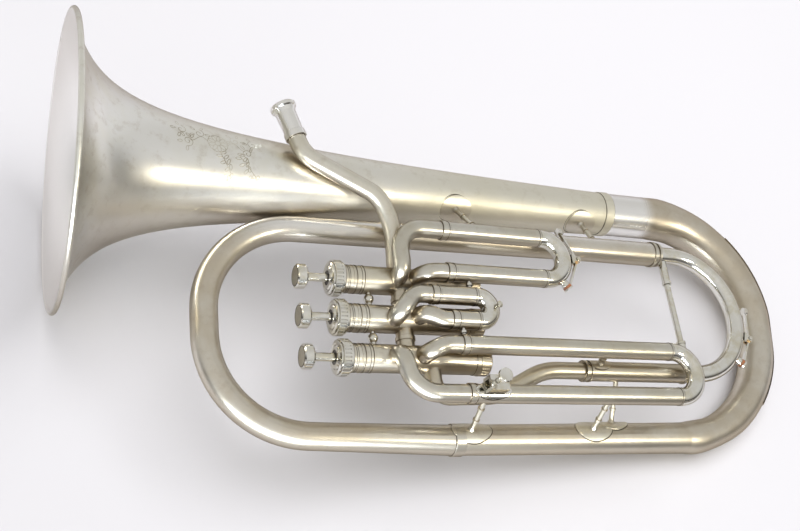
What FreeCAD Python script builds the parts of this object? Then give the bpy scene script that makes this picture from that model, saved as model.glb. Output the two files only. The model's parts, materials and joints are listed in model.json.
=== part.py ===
import FreeCAD, Part
import math
import os
import re
import Sketcher
from FreeCAD import Placement, Rotation, Vector

# A three-valve baritone horn in B flat, lying on its back the way it is laid down on a table.
#
# The horn is drawn in its own drawing frame and then laid down by one common placement:
#   X runs along the bell axis, from the mouth of the bell (0) to the bottom bow,
#   Y runs across the loop (the bell axis is 0 and the loop is on the negative side),
#   Z points from the back of the horn to its front, where the valves are.
# The air goes receiver, leadpipe, valves 1-2-3, exit tube, tuning slide, first branch, bottom bow, bell.

# Every driving dimension: alias, value in millimetres (or degrees or pieces), what it is.
DIMENSIONS = [
    ("bell_radius", 118.4, "radius of the flare where it meets the rolled rim"),
    ("bell_length", 500.0, "from the mouth to the bell ferrule"),
    ("flare_start", 17.0, "distance of the flare's pole in front of the mouth"),
    ("flare_power", 0.514, "exponent of the flare"),
    ("sheet_wall", 0.55, "wall of the bell, the bows and the branches"),
    ("rim_bead", 2.2, "radius of the rolled rim"),
    ("rim_wire", 1.3, "radius of the wire inside the rolled rim"),
    ("bow_big_radius", 20.4, "outer radius of the bottom bow at the bell ferrule"),
    ("bow_mid_radius", 13.9, "outer radius of the bottom bow where it runs straight"),
    ("bow_small_radius", 12.5, "outer radius of the bottom bow at the lower ferrule"),
    ("branch_radius", 11.0, "outer radius of the first branch"),
    ("tube_bore", 6.4, "radius of the bore of the cylindrical tubing"),
    ("knuckle_radius", 7.3, "outer radius of the knuckles and cylindrical bends"),
    ("crook_radius", 7.6, "outer radius of the slides' bows"),
    ("leg_radius", 7.7, "outer radius of the slides' outer legs"),
    ("slide_bore", 6.95, "bore radius of the slides' outer legs"),
    ("slide_radius", 6.9, "outer radius of the slides' inner legs"),
    ("band_radius", 8.4, "radius of the rings on the slides' legs"),
    ("sleeve_radius", 8.6, "outer radius of the lower receiver of the tuning slide"),
    ("valve_pitch", 33.5, "distance between two valves"),
    ("casing_radius", 11.4, "outer radius of a valve casing"),
    ("casing_bore", 10.0, "bore radius of a valve casing"),
    ("piston_radius", 9.95, "outer radius of a piston"),
    ("piston_travel", 17.0, "stroke of a valve"),
    ("cap_radius", 14.8, "radius of a top cap over its knurl"),
    ("bottom_cap_radius", 12.2, "radius of a bottom cap over its knurl"),
    ("stem_radius", 3.4, "radius of a valve stem"),
    ("button_radius", 9.9, "radius of a finger button"),
    ("button_height", 8.4, "height of a finger button"),
    ("spring_wire", 0.45, "radius of a valve spring's wire"),
    ("spring_radius", 7.6, "mean radius of a valve spring"),
    ("receiver_bore", 5.6, "radius of the socket for the mouthpiece"),
    ("receiver_radius", 8.5, "outer radius of the mouthpiece receiver"),
    ("leadpipe_radius", 7.5, "outer radius of the leadpipe"),
    ("rod_radius", 2.1, "radius of a brace rod"),
    ("flange_wall", 0.8, "thickness of a brace flange"),
    ("lyre_hole", 7.0, "side of the square socket for the lyre"),
    ("screw_radius", 1.95, "radius of the lyre screw's shank"),
    ("pin_radius", 0.8, "radius of a water key's hinge pin"),
    ("running_gap", 0.05, "radial clearance of a pin or shank that turns"),
    ("slide_gap", 0.4, "gap between a slide's shoulder and its outer leg"),
    ("lie_roll", 9.2, "degrees the horn rolls about the bell axis when it lies down"),
    ("lie_pitch", -6.8, "degrees the bell axis tips when it lies down"),
]

# Layers of the horn, measured along Z from the bell axis.
VALVE_LAYER = 29.0
SLIDE_LAYER = 49.0

# Where the valves stand: the axis of valve 2 and the heights of what is on every valve.
MIDDLE_VALVE_Y = -133.0
BUTTON_TOP = 175.6
CAP_TOP = 202.0
CASING_TOP = 206.5
CASING_END = 330.0
PISTON_TOP = 226.0
PISTON_END = 297.0

doc = FreeCAD.newDocument("BaritoneHorn")
sheet = doc.addObject("Spreadsheet::Sheet", "Dimensions")
for row, (alias, value, meaning) in enumerate(DIMENSIONS, start=1):
    sheet.set("A%d" % row, alias)
    sheet.set("B%d" % row, str(value))
    sheet.setAlias("B%d" % row, alias)
    sheet.set("C%d" % row, meaning)
doc.recompute()

sub_parts = []


# ---------------------------------------------------------------- small helpers

def size(alias):
    """The value of one driving dimension."""
    return float(sheet.get(alias))


def bind(piece, name, value):
    """Set a property to a number, or bind it to an expression written with the sheet's aliases."""
    if isinstance(value, str):
        piece.setExpression(name, re.sub(r"[a-z]+(_[a-z]+)+", r"Dimensions.\g<0>", value))
    else:
        setattr(piece, name, value)


def facing(position, direction):
    """A placement at a point whose own Z axis runs along a direction, without twist in the horn's plane."""
    along = Vector(direction)
    along.normalize()
    side = Vector(0, 0, 1)
    if abs(along.dot(side)) > 0.99:
        side = Vector(0, 1, 0)
    across = along.cross(side)
    return Placement(position, Rotation(across.cross(along), across, along, "ZXY"))


LIE_DOWN = Placement(Vector(), Rotation(Vector(0, 1, 0), -size("lie_pitch"))).multiply(
    Placement(Vector(), Rotation(Vector(1, 0, 0), size("lie_roll"))))


def keep(piece, label):
    """Make an object a sub-part of the horn: name it and lay it down."""
    piece.Label = label
    piece.Placement = LIE_DOWN.multiply(piece.Placement)
    sub_parts.append(piece)
    return piece


def rod(position, direction, radius, length, name="Rod"):
    """A solid cylinder."""
    piece = doc.addObject("Part::Cylinder", name)
    bind(piece, "Radius", radius)
    bind(piece, "Height", length)
    piece.Placement = facing(position, direction)
    return piece


def rod_between(start, end, radius, name="Rod"):
    """A solid cylinder from one point to another."""
    run = end.sub(start)
    return rod(start, run, radius, run.Length, name)


def cone_between(start, end, start_radius, end_radius, name="Cone"):
    """A solid truncated cone from one point to another."""
    run = end.sub(start)
    piece = doc.addObject("Part::Cone", name)
    bind(piece, "Radius1", start_radius)
    bind(piece, "Radius2", end_radius)
    piece.Height = run.Length
    piece.Placement = facing(start, run)
    return piece


def block(centre, along, across, sides, name="Block"):
    """A box of three sides about its centre; its first side runs along, its second across."""
    piece = doc.addObject("Part::Box", name)
    piece.Length, piece.Width, piece.Height = sides
    turn = Rotation(Vector(along), Vector(across), Vector(along).cross(Vector(across)), "XYZ")
    corner = turn.multVec(Vector(*sides).multiply(0.5))
    piece.Placement = Placement(Vector(centre).sub(corner), turn)
    return piece


def ball(centre, radius, name="Ball"):
    """A solid sphere."""
    piece = doc.addObject("Part::Sphere", name)
    bind(piece, "Radius", radius)
    piece.Placement = Placement(centre, Rotation())
    return piece


def joined(pieces, name="Joined"):
    """Several solids fused into one."""
    piece = doc.addObject("Part::MultiFuse", name)
    piece.Shapes = pieces
    return piece


def cut(base, tool, name="Cut"):
    """One solid less another."""
    piece = doc.addObject("Part::Cut", name)
    piece.Base = base
    piece.Tool = tool
    return piece


def common(base, tool, name="Common"):
    """What two solids share."""
    piece = doc.addObject("Part::Common", name)
    piece.Base = base
    piece.Tool = tool
    return piece


def group(pieces, name="Group"):
    """Identical pieces that stay separate solids in one node."""
    piece = doc.addObject("Part::Compound", name)
    piece.Links = pieces
    return piece


# ---------------------------------------------------------------- turned pieces

def turned(outline, position, direction=Vector(1, 0, 0), name="Turned"):
    """A body turned on a lathe: an outline of (along, radius) corners, revolved about its own X axis."""
    body = doc.addObject("PartDesign::Body", name)
    sketch = body.newObject("Sketcher::SketchObject", name + "Outline")
    plane = [item for item in body.Origin.OriginFeatures if item.Role == "XY_Plane"][0]
    sketch.AttachmentSupport = (plane, [""])
    sketch.MapMode = "FlatFace"
    corners = []
    for along, radius in outline:
        corners.append(Vector(measure(along), measure(radius), 0))
    count = len(corners)
    for index in range(count):
        sketch.addGeometry(Part.LineSegment(corners[index], corners[(index + 1) % count]), False)
    for index in range(count):
        sketch.addConstraint(Sketcher.Constraint("Coincident", index, 2, (index + 1) % count, 1))
    for index, (along, radius) in enumerate(outline):
        for kind, value in (("DistanceX", along), ("DistanceY", radius)):
            number = sketch.addConstraint(Sketcher.Constraint(kind, index, 1, measure(value)))
            if isinstance(value, str):
                bind(sketch, "Constraints[%d]" % number, value)
    revolution = body.newObject("PartDesign::Revolution", name + "Revolution")
    revolution.Profile = sketch
    revolution.ReferenceAxis = (sketch, ["H_Axis"])
    revolution.Angle = 360.0
    body.Placement = Placement(position, Rotation(Vector(1, 0, 0), direction))
    return body


def measure(value):
    """The number that an outline's corner stands for, which may be written with the sheet's aliases."""
    if not isinstance(value, str):
        return float(value)
    total = 0.0
    for sign, word in re.findall(r"([+-]?)\s*([a-z_.0-9]+)", value):
        amount = float(word) if word[0].isdigit() else size(word)
        total += -amount if sign == "-" else amount
    return total


def ring(position, inner, outer, length, direction=Vector(1, 0, 0), name="Ring"):
    """A plain ring, band or washer."""
    return turned([(0.0, inner), (length, inner), (length, outer), (0.0, outer)], position, direction, name)


def band(x, y, z, inner, outer, length, name="Band"):
    """A ferrule band round a tube, with softened edges, centred on x."""
    edge = 0.35
    half = 0.5 * length
    outline = [
        (-half, inner), (half, inner), (half, outer + " - 0.35"),
        (half - edge, outer), (edge - half, outer), (-half, outer + " - 0.35"),
    ]
    return turned(outline, Vector(x, y, z), Vector(1, 0, 0), name)


# ---------------------------------------------------------------- bent tubes

def corner_arc(before, corner, after, radius):
    """Where an arc of a radius leaves and joins the runs at a corner, its centre, axis and turn."""
    arriving = corner.sub(before).normalize()
    leaving = after.sub(corner).normalize()
    turn = arriving.getAngle(leaving)
    reach = radius * math.tan(0.5 * turn)
    start = corner.sub(Vector(arriving).multiply(reach))
    end = corner.add(Vector(leaving).multiply(reach))
    inward = Vector(leaving).sub(arriving).normalize()
    centre = corner.add(inward.multiply(radius / math.cos(0.5 * turn)))
    axis = arriving.cross(leaving).normalize()
    return start, end, centre, axis, turn


def spine(corners, radii, name):
    """A path of straight runs joined by tangent arcs."""
    edges = []
    last = corners[0]
    for index, radius in enumerate(radii, start=1):
        start, end, centre, axis, turn = corner_arc(corners[index - 1], corners[index], corners[index + 1], radius)
        middle = centre.add(Rotation(axis, math.degrees(0.5 * turn)).multVec(start.sub(centre)))
        if start.distanceToPoint(last) > 0.001:
            edges.append(Part.LineSegment(last, start).toShape())
        edges.append(Part.Arc(start, middle, end).toShape())
        last = end
    if last.distanceToPoint(corners[-1]) > 0.001:
        edges.append(Part.LineSegment(last, corners[-1]).toShape())
    path = doc.addObject("Part::Feature", name)
    path.Shape = Part.Wire(edges)
    return path


def swept(path, start, towards, radius, name):
    """A solid round bar along a path."""
    section = doc.addObject("Part::Circle", name + "Section")
    bind(section, "Radius", radius)
    section.Placement = facing(start, towards.sub(start))
    piece = doc.addObject("Part::Sweep", name)
    piece.Sections = [section]
    piece.Spine = (path, ["Edge%d" % (number + 1) for number in range(len(path.Shape.Edges))])
    piece.Solid = True
    piece.Frenet = False
    return piece


def bent_tube(corners, radii, outer, inner, name):
    """The outside and the bore of a bent tube, as two solids."""
    path = spine(corners, radii, name + "Path")
    outside = swept(path, corners[0], corners[1], outer, name + "Outside")
    bore = swept(path, corners[0], corners[1], inner, name + "Bore")
    return outside, bore


def arc_stations(before, corner, after, radius, steps):
    """Points and directions at equal turns along the arc at a corner."""
    start, end, centre, axis, turn = corner_arc(before, corner, after, radius)
    heading = corner.sub(before).normalize()
    stations = []
    for step in range(steps + 1):
        rotation = Rotation(axis, math.degrees(turn * step / steps))
        stations.append((centre.add(rotation.multVec(start.sub(centre))), rotation.multVec(heading)))
    return stations


def lofted(stations, start_radius, end_radius, thinner, name):
    """A solid bar through round sections whose radius changes evenly from end to end."""
    sections = []
    last = len(stations) - 1
    for index, (position, heading) in enumerate(stations):
        section = doc.addObject("Part::Circle", "%sSection%d" % (name, index))
        share = index / last
        rule = "%s + (%s - %s) * %.6f %s" % (start_radius, end_radius, start_radius, share, thinner)
        bind(section, "Radius", rule)
        section.Placement = facing(position, heading)
        sections.append(section)
    piece = doc.addObject("Part::Loft", name)
    piece.Sections = sections
    piece.Solid = True
    piece.Ruled = False
    return piece


# ---------------------------------------------------------------- bell

def flare_radius(x):
    """Outer radius of the bell at a distance from its mouth."""
    pole = size("flare_start")
    return size("bell_radius") * (pole / (x + pole)) ** size("flare_power")


def flare_point(x, depth):
    """A point on the flare, moved square to it by a depth towards the bore."""
    slope = -size("flare_power") * flare_radius(x) / (x + size("flare_start"))
    length = math.hypot(1.0, slope)
    return Vector(x + depth * slope / length, flare_radius(x) - depth / length, 0)


def make_bell():
    """The spun bell with its rolled rim, and the wire that the rim is rolled over."""
    stations = [size("bell_length") * (step / 14.0) ** 2.2 for step in range(15)]
    outside = [flare_point(x, 0.0) for x in stations]
    inside = [flare_point(x, size("sheet_wall")) for x in stations]
    inside[-1] = Vector(outside[-1].x, inside[-1].y, 0)
    outer_curve = Part.BSplineCurve()
    outer_curve.interpolate(outside)
    inner_curve = Part.BSplineCurve()
    inner_curve.interpolate(inside)
    body = doc.addObject("PartDesign::Body", "BellFlare")
    sketch = body.newObject("Sketcher::SketchObject", "BellOutline")
    plane = [item for item in body.Origin.OriginFeatures if item.Role == "XY_Plane"][0]
    sketch.AttachmentSupport = (plane, [""])
    sketch.MapMode = "FlatFace"
    sketch.addGeometry(outer_curve, False)
    sketch.addGeometry(inner_curve, False)
    sketch.addGeometry(Part.LineSegment(outside[0], inside[0]), False)
    sketch.addGeometry(Part.LineSegment(outside[-1], inside[-1]), False)
    revolution = body.newObject("PartDesign::Revolution", "BellRevolution")
    revolution.Profile = sketch
    revolution.ReferenceAxis = (sketch, ["H_Axis"])
    revolution.Angle = 360.0
    bead = doc.addObject("Part::Torus", "RimBead")
    bind(bead, "Radius1", "bell_radius - 0.6")
    bind(bead, "Radius2", "rim_bead")
    bead.Placement = facing(Vector(1.4, 0, 0), Vector(1, 0, 0))
    wire = doc.addObject("Part::Torus", "RimWire")
    bind(wire, "Radius1", "bell_radius - 0.6")
    bind(wire, "Radius2", "rim_wire")
    wire.Placement = facing(Vector(1.4, 0, 0), Vector(1, 0, 0))
    groove = doc.addObject("Part::Torus", "RimGroove")
    bind(groove, "Radius1", "bell_radius - 0.6")
    bind(groove, "Radius2", "rim_wire")
    groove.Placement = wire.Placement
    keep(cut(joined([body, bead], "BellAndRim"), groove, "Bell"), "bell")
    keep(wire, "bell_rim_wire")
    end = size("bell_length")
    keep(band(end + 1.0, 0, 0, "bow_big_radius", "bow_big_radius + 0.9", 9.0, "BellFerrule"), "bell_ferrule")


# ---------------------------------------------------------------- bottom bow and first branch

BOW_START = Vector(505.5, 0, 0)
BOW_TOP_CORNER = Vector(660.0, 0, 0)
BOW_LOW_CORNER = Vector(652.0, -222.7, 0)
BOW_END = Vector(312.0, -224.2, 0)
BOW_TOP_BEND = 100.0
BOW_LOW_BEND = 117.0


def make_bottom_bow():
    """The tapered bow from the bell ferrule round to the lower ferrule, and the guard strip on its outside."""
    stations = arc_stations(BOW_START, BOW_TOP_CORNER, BOW_LOW_CORNER, BOW_TOP_BEND, 6)
    stations += arc_stations(BOW_TOP_CORNER, BOW_LOW_CORNER, BOW_END, BOW_LOW_BEND, 6)
    first = stations[0][0]
    last = stations[-1][0]
    shells = []
    for thinner in ("", "- sheet_wall"):
        curve = lofted(stations, "bow_big_radius", "bow_mid_radius", thinner, "BowCurve")
        upper = rod_between(BOW_START, first, "bow_big_radius " + thinner, "BowUpper")
        lower = cone_between(last, BOW_END, "bow_mid_radius " + thinner, "bow_small_radius " + thinner, "BowLower")
        shells.append(joined([upper, curve, lower], "BowShell"))
    keep(cut(shells[0], shells[1], "BottomBow"), "bottom_bow")
    cover = lofted(stations, "bow_big_radius", "bow_mid_radius", "+ 0.9", "GuardOutside")
    core = lofted(stations, "bow_big_radius", "bow_mid_radius", "", "GuardInside")
    middle = Vector(550.0, -108.0, -40.0)
    hollow = rod(middle, Vector(0, 0, 1), 121.0, 80.0, "GuardHollow")
    reach = block(Vector(665.0, -108.0, 0), (1, 0, 0), (0, 1, 0), (110.0, 170.0, 80.0), "GuardReach")
    keep(common(cut(cut(cover, core), hollow), reach, "BowGuard"), "bow_guard")
    low = "bow_small_radius"
    keep(band(BOW_END.x - 1.0, BOW_END.y, 0, low, low + " + 0.9", 9.0, "LowerFerrule"), "lower_ferrule")


BRANCH_LOW_END = Vector(306.5, -224.2, 0)
BRANCH_BOW_START = Vector(199.0, -221.0, 0)
BRANCH_STRAIGHT = Vector(440.0, -55.3, VALVE_LAYER)
BRANCH_END = Vector(525.5, -55.3, VALVE_LAYER)


def make_first_branch():
    """The branch from the lower ferrule round the left bow to the tuning slide's upper receiver."""
    corners = [
        BRANCH_BOW_START, Vector(108.6, -217.6, 0), Vector(109.4, -44.6, 0),
        Vector(190.0, -45.0, 4.5), BRANCH_STRAIGHT, BRANCH_END,
    ]
    bends = [80.0, 76.0, 60.0, 260.0]
    outside, bore = bent_tube(corners, bends, "branch_radius", "branch_radius - sheet_wall", "Branch")
    taper = cone_between(BRANCH_BOW_START, BRANCH_LOW_END, "branch_radius", "bow_small_radius", "BranchTaper")
    hollow = cone_between(BRANCH_BOW_START, BRANCH_LOW_END, "branch_radius - sheet_wall",
                          "bow_small_radius - sheet_wall", "BranchTaperBore")
    keep(cut(joined([outside, taper]), joined([bore, hollow]), "FirstBranch"), "first_branch")


# ---------------------------------------------------------------- valves

def valve_y(number):
    """Y of the axis of valve 1, 2 or 3."""
    return MIDDLE_VALVE_Y + (2 - number) * size("valve_pitch")


def casing_outside(number, name="CasingSkin"):
    """A solid the size of a valve casing, for fitting tubes to it."""
    start = Vector(CASING_TOP, valve_y(number), VALVE_LAYER)
    return rod(start, Vector(1, 0, 0), "casing_radius", CASING_END - CASING_TOP, name)


# Heights of the ports on the valves.
LEADPIPE_PORT = 263.0
LINK_PORT = 264.0
EXIT_PORT = 284.0
SLIDE_PORTS = {1: (260.0, 276.0), 2: (253.0, 274.0), 3: (251.0, 274.0)}


def port_ways(number, reach, radius):
    """Round bars through every port of a valve, from near its axis outwards."""
    y = valve_y(number)
    bars = []
    up = Vector(0, 1, 0)
    down = Vector(0, -1, 0)
    front = Vector(0, 0, 1)
    entry = LEADPIPE_PORT if number == 1 else LINK_PORT
    leaving = EXIT_PORT if number == 3 else LINK_PORT
    bars.append(rod(Vector(entry, y, VALVE_LAYER), up, radius, reach, "PortWay"))
    bars.append(rod(Vector(leaving, y, VALVE_LAYER), down, radius, reach, "PortWay"))
    for x in SLIDE_PORTS[number]:
        bars.append(rod(Vector(x, y, VALVE_LAYER), front, radius, reach, "PortWay"))
    return bars


def make_valve(number):
    """One valve: casing, piston, stem, button and return spring."""
    y = valve_y(number)
    z = VALVE_LAYER
    along = Vector(1, 0, 0)
    skin = casing_outside(number)
    rings = []
    for x in (221.5, 224.5, 231.0, 321.0):
        rings.append(rod(Vector(x, y, z), along, "casing_radius + 0.35", 1.1, "CasingRing"))
    bore = rod(Vector(CASING_TOP - 1.0, y, z), along, "casing_bore", CASING_END - CASING_TOP + 2.0, "CasingBore")
    ways = port_ways(number, 14.0, "tube_bore")
    casing = cut(joined([skin] + rings), joined([bore] + ways), "Casing%d" % number)
    keep(casing, "valve_casing_%d" % number)

    length = PISTON_END - PISTON_TOP
    body = rod(Vector(PISTON_TOP, y, z), along, "piston_radius", length, "PistonBody")
    inside = rod(Vector(PISTON_TOP - 1.0, y, z), along, "piston_radius - 0.9", length + 2.0, "PistonInside")
    floor_plate = rod(Vector(PISTON_END - 10.0, y, z), along, "piston_radius", 1.0, "PistonFloor")
    crown_plate = rod(Vector(PISTON_TOP + 9.0, y, z), along, "piston_radius", 2.0, "PistonCrown")
    boss = rod(Vector(PISTON_TOP, y, z), along, "stem_radius + 2.0", 10.0, "PistonBoss")
    tubes = port_ways(number, 12.0, "tube_bore")
    passages = port_ways(number, 13.0, "tube_bore - 0.6")
    skeleton = joined([cut(body, inside), floor_plate, crown_plate, boss] + tubes)
    trimmed = common(skeleton, rod(Vector(PISTON_TOP, y, z), along, "piston_radius", length, "PistonTrim"))
    screw = rod(Vector(PISTON_TOP - 1.0, y, z), along, "stem_radius", 9.0, "StemHole")
    keep(cut(trimmed, joined(passages + [screw]), "Piston%d" % number), "piston_%d" % number)

    button_end = BUTTON_TOP + size("button_height")
    stem = rod(Vector(button_end - 4.0, y, z), along, "stem_radius", PISTON_TOP + 8.0 - button_end + 4.0, "StemRod")
    collar = rod(Vector(button_end, y, z), along, "stem_radius + 1.5", 1.6, "StemCollar")
    keep(joined([stem, collar], "Stem%d" % number), "stem_%d" % number)

    head = [
        (0.6, 0.0), (0.0, "button_radius - 3.4"), (0.0, "button_radius - 1.2"), (0.9, "button_radius"),
        ("button_height - 1.4", "button_radius"), ("button_height", "button_radius - 1.6"),
        ("button_height", "stem_radius"), (2.4, "stem_radius"), (2.4, 0.0),
    ]
    keep(turned(head, Vector(BUTTON_TOP, y, z), along, "Button%d" % number), "button_%d" % number)
    make_valve_spring(number, y, z)


def make_valve_spring(number, y, z):
    """The coil spring between a piston and its bottom cap, its turns laid out by a loop."""
    start = PISTON_END - 8.5
    end = CASING_END - 0.6
    turns = 6
    points_per_turn = 6
    count = turns * points_per_turn
    corners = []
    for step in range(count + 1):
        angle = 2.0 * math.pi * step / points_per_turn
        x = start + (end - start) * step / count
        corners.append(Vector(x, y + size("spring_radius") * math.cos(angle),
                              z + size("spring_radius") * math.sin(angle)))
    path = spine(corners, [6.4] * (count - 1), "SpringPath%d" % number)
    keep(swept(path, corners[0], corners[1], "spring_wire", "Spring%d" % number), "spring_%d" % number)


def make_caps():
    """The knurled top and bottom caps and the felt rings in the top caps."""
    top_caps = []
    bottom_caps = []
    felts = []
    for number in (1, 2, 3):
        y = valve_y(number)
        top_caps.append(make_top_cap(y))
        bottom_caps.append(make_bottom_cap(y))
        felts.append(ring(Vector(CAP_TOP + 0.6, y, VALVE_LAYER), "stem_radius + 0.4", "stem_radius + 2.6", 3.0,
                          name="CapFelt"))
    keep(group(top_caps, "TopCaps"), "top_caps")
    keep(group(bottom_caps, "BottomCaps"), "bottom_caps")
    keep(group(felts, "CapFelts"), "cap_felts")


def knurled(body, radius, start, length, notches, name):
    """Cut a ring of flutes into a turned body, one flute repeated round its X axis."""
    sketch = body.newObject("Sketcher::SketchObject", name + "Flute")
    plane = [item for item in body.Origin.OriginFeatures if item.Role == "YZ_Plane"][0]
    sketch.AttachmentSupport = (plane, [""])
    sketch.MapMode = "FlatFace"
    sketch.AttachmentOffset = Placement(Vector(0, 0, start), Rotation())
    sketch.addGeometry(Part.Circle(Vector(radius + 0.35, 0, 0), Vector(0, 0, 1), 0.75), False)
    doc.recompute()
    flute = body.newObject("PartDesign::Pocket", name + "Pocket")
    flute.Profile = sketch
    flute.Length = length
    flute.Reversed = True
    doc.recompute()
    pattern = body.newObject("PartDesign::PolarPattern", name + "Pattern")
    pattern.Originals = [flute]
    pattern.Axis = (sketch, ["N_Axis"])
    pattern.Angle = 360
    pattern.Occurrences = notches
    body.Tip = pattern
    doc.recompute()
    return body


def make_top_cap(y):
    """A top cap: a recessed face round the stem, a knurled band, and a skirt that screws on to the casing."""
    edge = "cap_radius - 1.4"
    outline = [
        (0.0, "stem_radius + 2.6"), (0.0, "cap_radius - 6.4"), (1.2, "cap_radius - 5.0"),
        (0.6, "cap_radius - 3.2"), (1.4, edge), (2.8, edge), (3.2, "cap_radius"), (9.6, "cap_radius"),
        (10.0, edge), (11.6, edge), (12.4, "cap_radius - 2.4"), (12.4, "casing_radius"),
        (4.5, "casing_radius"), (4.5, "stem_radius + 1.2"), (3.7, "stem_radius + 1.2"),
        (3.7, "stem_radius + 2.6"),
    ]
    body = turned(outline, Vector(CAP_TOP, y, VALVE_LAYER), name="TopCap")
    return knurled(body, size("cap_radius"), 3.8, 5.2, 30, "TopCap")


def make_bottom_cap(y):
    """A bottom cap: a domed cup that screws on to the casing, with a knurled band."""
    skirt = "bottom_cap_radius - 0.4"
    outline = [
        (-8.0, "casing_radius"), (-8.0, skirt), (-5.4, skirt), (-5.0, "bottom_cap_radius"),
        (3.4, "bottom_cap_radius"), (4.0, skirt), (5.6, "bottom_cap_radius - 3.0"), (6.6, 3.0), (6.6, 0.0),
        (0.0, 0.0), (0.0, "casing_radius"),
    ]
    body = turned(outline, Vector(CASING_END, y, VALVE_LAYER), name="BottomCap")
    return knurled(body, size("bottom_cap_radius"), -4.2, 7.0, 26, "BottomCap")


def make_valve_links():
    """The short tubes between the valves and the ball braces above them."""
    links = []
    braces = []
    for number in (1, 2):
        y = valve_y(number)
        upper = casing_outside(number)
        lower = casing_outside(number + 1)
        run = size("valve_pitch")
        start = Vector(LINK_PORT, y, VALVE_LAYER)
        outside = rod(start, Vector(0, -1, 0), "knuckle_radius", run, "Link")
        bore = rod(start, Vector(0, -1, 0), "tube_bore", run, "LinkBore")
        collar = rod(Vector(LINK_PORT, y - 0.5 * run + 1.6, VALVE_LAYER), Vector(0, -1, 0),
                     "knuckle_radius + 0.8", 3.2, "LinkCollar")
        links.append(cut(joined([outside, collar]), joined([bore, upper, lower])))
        middle = Vector(236.0, y - 0.5 * run, VALVE_LAYER)
        reach = 0.5 * run
        bar = rod(Vector(236.0, y - 8.0, VALVE_LAYER), Vector(0, -1, 0), 2.2, 2.0 * (reach - 8.0), "BallBar")
        braces.append(cut(joined([bar, ball(middle, 4.2)]), joined([casing_outside(number),
                                                                     casing_outside(number + 1)])))
    keep(group(links, "InterValveTubes"), "inter_valve_tubes")
    keep(group(braces, "CasingBraces"), "casing_braces")


# ---------------------------------------------------------------- leadpipe and receiver

RECEIVER_MOUTH = Vector(172.0, 49.5, 42.0)
RECEIVER_END = Vector(182.0, 19.5, 42.0)


def make_leadpipe():
    """The leadpipe from the mouthpiece receiver over the bell to the first valve, and the receiver."""
    corners = [
        RECEIVER_END, Vector(187.5, 3.5, 42.6), Vector(250.0, -28.0, 42.0), Vector(262.5, -52.0, 35.5),
        Vector(LEADPIPE_PORT, -84.0, VALVE_LAYER + 1.0), Vector(LEADPIPE_PORT, -92.0, VALVE_LAYER),
    ]
    outside, bore = bent_tube(corners, [26.0, 30.0, 60.0, 12.0], "leadpipe_radius", "leadpipe_radius - 1.0", "Leadpipe")
    tool = joined([bore, casing_outside(1)])
    keep(cut(outside, tool, "LeadPipe"), "leadpipe")
    run = RECEIVER_END.sub(RECEIVER_MOUTH)
    length = run.Length
    socket_depth = 22.0
    outline = [
        (0.0, "receiver_bore"), (0.0, "receiver_radius + 1.6"), (0.8, "receiver_radius + 2.4"),
        (3.6, "receiver_radius + 2.4"), (4.6, "receiver_radius + 1.2"), (7.6, "receiver_radius"),
        (length - 5.0, "receiver_radius - 0.5"), (length - 5.0, "receiver_radius + 0.5"),
        (length, "receiver_radius + 0.5"), (length, "leadpipe_radius - 1.0"),
        (socket_depth + 3.0, "leadpipe_radius - 2.4"), (socket_depth, "receiver_bore - 0.8"),
        (socket_depth, "receiver_bore"),
    ]
    keep(turned(outline, RECEIVER_MOUTH, run, "MouthpieceReceiver"), "mouthpiece_receiver")


# ---------------------------------------------------------------- the slides' outer legs and knuckles

# For each valve slide: Y of the upper and lower leg, where the knuckle ends and where the outer leg ends.
SLIDE_LEGS = {1: (-59.0, -97.3), 2: (-117.8, -139.0), 3: (-160.0, -200.8)}
LEG_STARTS = {1: (300.0, 300.0), 2: (283.0, 298.0), 3: (304.0, 304.0)}
LEG_ENDS = {1: 392.6, 2: 321.6, 3: 506.0}
INNER_LEG_STARTS = {1: 325.0, 2: 299.0, 3: 365.0}


def knuckle_route(number, which):
    """Corners and bend radii from a valve's port to the start of an outer leg (which 0 upper, 1 lower)."""
    y = valve_y(number)
    leg = SLIDE_LEGS[number][which]
    end = Vector(LEG_STARTS[number][which], leg, SLIDE_LAYER)
    z = SLIDE_LAYER
    foot = VALVE_LAYER + 8.5
    port = SLIDE_PORTS[number][which if number < 3 else 1 - which]
    routes = {
        (1, 0): ([Vector(port, y, foot), Vector(port, y, z), Vector(port, leg, z), end], [10.4, 22.0]),
        (1, 1): ([Vector(port, y, foot), Vector(port, y, z), Vector(port + 14.0, leg, z), end], [10.0, 40.0]),
        (2, 0): ([Vector(port, y - 2.0, foot), Vector(port, y - 2.0, z), Vector(port + 14.5, leg, z), end],
                 [10.0, 14.0]),
        (2, 1): ([Vector(port, y, foot), Vector(port, y, z), Vector(port + 16.0, leg, z), end], [10.0, 14.0]),
        (3, 0): ([Vector(port, y, foot), Vector(port, y, z), Vector(port + 16.0, leg, z), end], [10.0, 20.0]),
        (3, 1): ([Vector(port, y, foot), Vector(port, y, z), Vector(port + 7.0, leg, z), end], [10.4, 24.0]),
    }
    return routes[(number, which)]


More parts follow.
